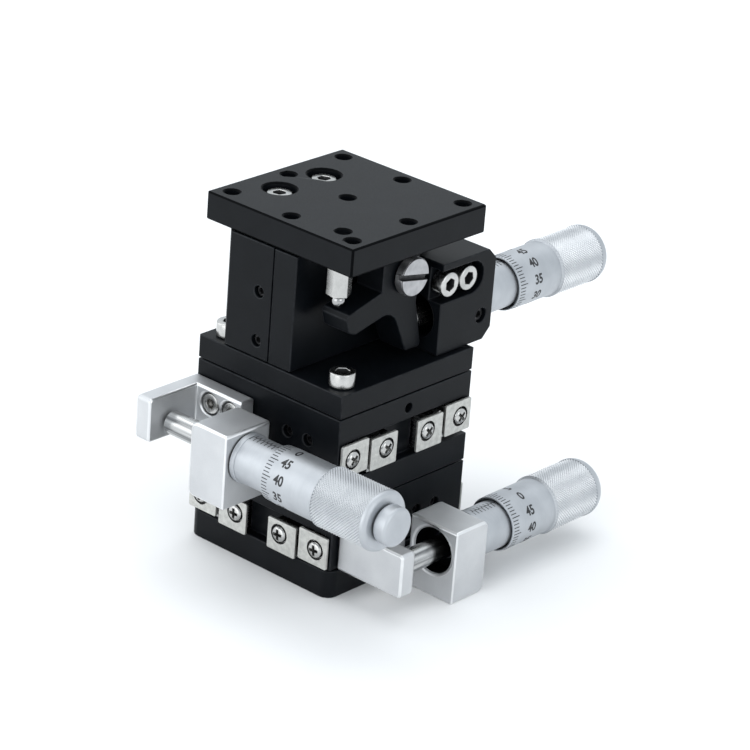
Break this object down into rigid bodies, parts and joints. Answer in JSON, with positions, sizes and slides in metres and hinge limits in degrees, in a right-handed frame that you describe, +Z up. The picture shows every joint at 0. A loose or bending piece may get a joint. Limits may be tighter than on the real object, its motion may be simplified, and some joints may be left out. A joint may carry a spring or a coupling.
{
  "type": "three-axis translation stage",
  "caption": "Stacked linear stage with crossed roller slides: micrometer heads move a square top plate sideways, forwards and, through a bell crank, upwards.",
  "frame": {"origin": "middle of the base plate's lower face, on the surface that the stage stands on", "axes": "+Z up along the lift's travel, +X along the upper slide's travel towards its micrometer's thimble, +Y along the lower slide's travel towards its micrometer's thimble"},
  "size_m": [0.0668, 0.1055, 0.077],
  "materials": {
    "black_anodised": "black anodised, fine milled grain, slightly glossy with bright worn edges",
    "blasted_aluminium": "bead blasted and clear anodised, fine matt grain",
    "satin_chrome": "satin chrome with black filled graduations and a fine diamond knurl",
    "bright_steel": "bright turned steel",
    "sandblasted_steel": "sandblasted stainless steel",
    "ground_steel": "ground bearing steel"
  },
  "bodies": {
    "base": {"base_plate": "black_anodised", "y_inner_rail_left": "ground_steel", "y_inner_rail_right": "ground_steel", "y_inner_end_cap_left": "sandblasted_steel", "y_inner_end_cap_right": "sandblasted_steel", "y_micrometer_block": "blasted_aluminium", "y_sleeve": "satin_chrome"},
    "y_carriage": {"y_table": "black_anodised", "y_outer_rail_left": "ground_steel", "y_outer_rail_right": "ground_steel", "y_outer_end_cap_left": "sandblasted_steel", "y_outer_end_cap_right": "sandblasted_steel", "y_anvil_bracket": "blasted_aluminium", "x_base": "black_anodised", "x_inner_rail_front": "ground_steel", "x_inner_rail_back": "ground_steel", "x_inner_end_cap_front": "sandblasted_steel", "x_inner_end_cap_back": "sandblasted_steel", "x_micrometer_block": "blasted_aluminium", "x_sleeve": "satin_chrome"},
    "x_carriage": {"x_table": "black_anodised", "x_outer_rail_front": "ground_steel", "x_outer_rail_back": "ground_steel", "x_outer_end_cap_front": "sandblasted_steel", "x_outer_end_cap_back": "sandblasted_steel", "x_anvil_bracket": "blasted_aluminium", "lift_mount_plate": "black_anodised", "mount_plate_screw_left": "bright_steel", "mount_plate_screw_right": "bright_steel", "lift_upright": "black_anodised", "lift_inner_rail_front": "ground_steel", "lift_inner_rail_back": "ground_steel", "lift_micrometer_block": "black_anodised", "lift_block_screw_front": "bright_steel", "lift_block_screw_back": "bright_steel", "lift_sleeve": "satin_chrome", "crank_pivot_screw": "bright_steel"},
    "lift_carriage": {"lift_column": "black_anodised", "lift_outer_rail_front": "ground_steel", "lift_outer_rail_back": "ground_steel", "top_plate": "black_anodised", "top_plate_screw_front": "bright_steel", "top_plate_screw_back": "bright_steel", "lift_pin": "bright_steel"},
    "crank": {"bell_crank": "black_anodised"},
    "y_cage": {"y_roller_cage_left": "ground_steel", "y_roller_cage_right": "ground_steel"},
    "x_cage": {"x_roller_cage_front": "ground_steel", "x_roller_cage_back": "ground_steel"},
    "lift_cage": {"lift_roller_cage_front": "ground_steel", "lift_roller_cage_back": "ground_steel"},
    "y_spindle_body": {"y_spindle": "bright_steel"},
    "x_spindle_body": {"x_spindle": "bright_steel"},
    "lift_spindle_body": {"lift_spindle": "bright_steel"},
    "y_thimble_body": {"y_thimble": "satin_chrome", "y_end_knob": "satin_chrome"},
    "x_thimble_body": {"x_thimble": "satin_chrome", "x_end_knob": "satin_chrome"},
    "lift_thimble_body": {"lift_thimble": "satin_chrome", "lift_end_knob": "satin_chrome"}
  },
  "joints": [
    {"name": "y_travel", "type": "slide", "parent": "base", "child": "y_carriage", "axis": [0, 1, 0], "range_m": [-0.0065, 0.0065]},
    {"name": "x_travel", "type": "slide", "parent": "y_carriage", "child": "x_carriage", "axis": [1, 0, 0], "range_m": [-0.0065, 0.0065]},
    {"name": "lift_travel", "type": "slide", "parent": "x_carriage", "child": "lift_carriage", "axis": [0, 0, 1], "range_m": [0, 0.0042]},
    {"name": "crank_turn", "type": "hinge", "parent": "x_carriage", "child": "crank", "pos_m": [0.0122, 0.0018, 0.065], "axis": [-1, 0, 0], "range_deg": [0, 14.75]},
    {"name": "y_cage_travel", "type": "slide", "parent": "base", "child": "y_cage", "axis": [0, 1, 0], "range_m": [-0.00325, 0.00325]},
    {"name": "x_cage_travel", "type": "slide", "parent": "y_carriage", "child": "x_cage", "axis": [1, 0, 0], "range_m": [-0.00325, 0.00325]},
    {"name": "lift_cage_travel", "type": "slide", "parent": "x_carriage", "child": "lift_cage", "axis": [0, 0, 1], "range_m": [0, 0.0021]},
    {"name": "y_spindle_travel", "type": "slide", "parent": "base", "child": "y_spindle_body", "axis": [0, 1, 0], "range_m": [-0.0065, 0.0065]},
    {"name": "x_spindle_travel", "type": "slide", "parent": "y_carriage", "child": "x_spindle_body", "axis": [1, 0, 0], "range_m": [-0.0065, 0.0065]},
    {"name": "lift_spindle_travel", "type": "slide", "parent": "x_carriage", "child": "lift_spindle_body", "axis": [0, -1, 0], "range_m": [0, 0.0035]},
    {"name": "y_thimble_turn", "type": "hinge", "parent": "y_spindle_body", "child": "y_thimble_body", "pos_m": [0.03157, 0.01675, 0.01015], "axis": [0, 1, 0], "range_deg": [-4680, 4680]},
    {"name": "x_thimble_turn", "type": "hinge", "parent": "x_spindle_body", "child": "x_thimble_body", "pos_m": [0.01525, -0.03157, 0.03075], "axis": [1, 0, 0], "range_deg": [-4680, 4680]},
    {"name": "lift_thimble_turn", "type": "hinge", "parent": "lift_spindle_body", "child": "lift_thimble_body", "pos_m": [0.0122, 0.036, 0.0529], "axis": [0, -1, 0], "range_deg": [0, 2512]}
  ],
  "couplings": [
    {"joint": "y_thimble_turn", "follows": "y_travel", "rad_per_m": 12566},
    {"joint": "y_spindle_travel", "follows": "y_travel", "ratio": 1},
    {"joint": "y_cage_travel", "follows": "y_travel", "ratio": 0.5},
    {"joint": "x_thimble_turn", "follows": "x_travel", "rad_per_m": 12566},
    {"joint": "x_spindle_travel", "follows": "x_travel", "ratio": 1},
    {"joint": "x_cage_travel", "follows": "x_travel", "ratio": 0.5},
    {"joint": "lift_thimble_turn", "follows": "lift_travel", "rad_per_m": 10435},
    {"joint": "lift_spindle_travel", "follows": "lift_travel", "ratio": 0.83037},
    {"joint": "crank_turn", "follows": "lift_travel", "rad_per_m": 61.24},
    {"joint": "lift_cage_travel", "follows": "lift_travel", "ratio": 0.5}
  ]
}
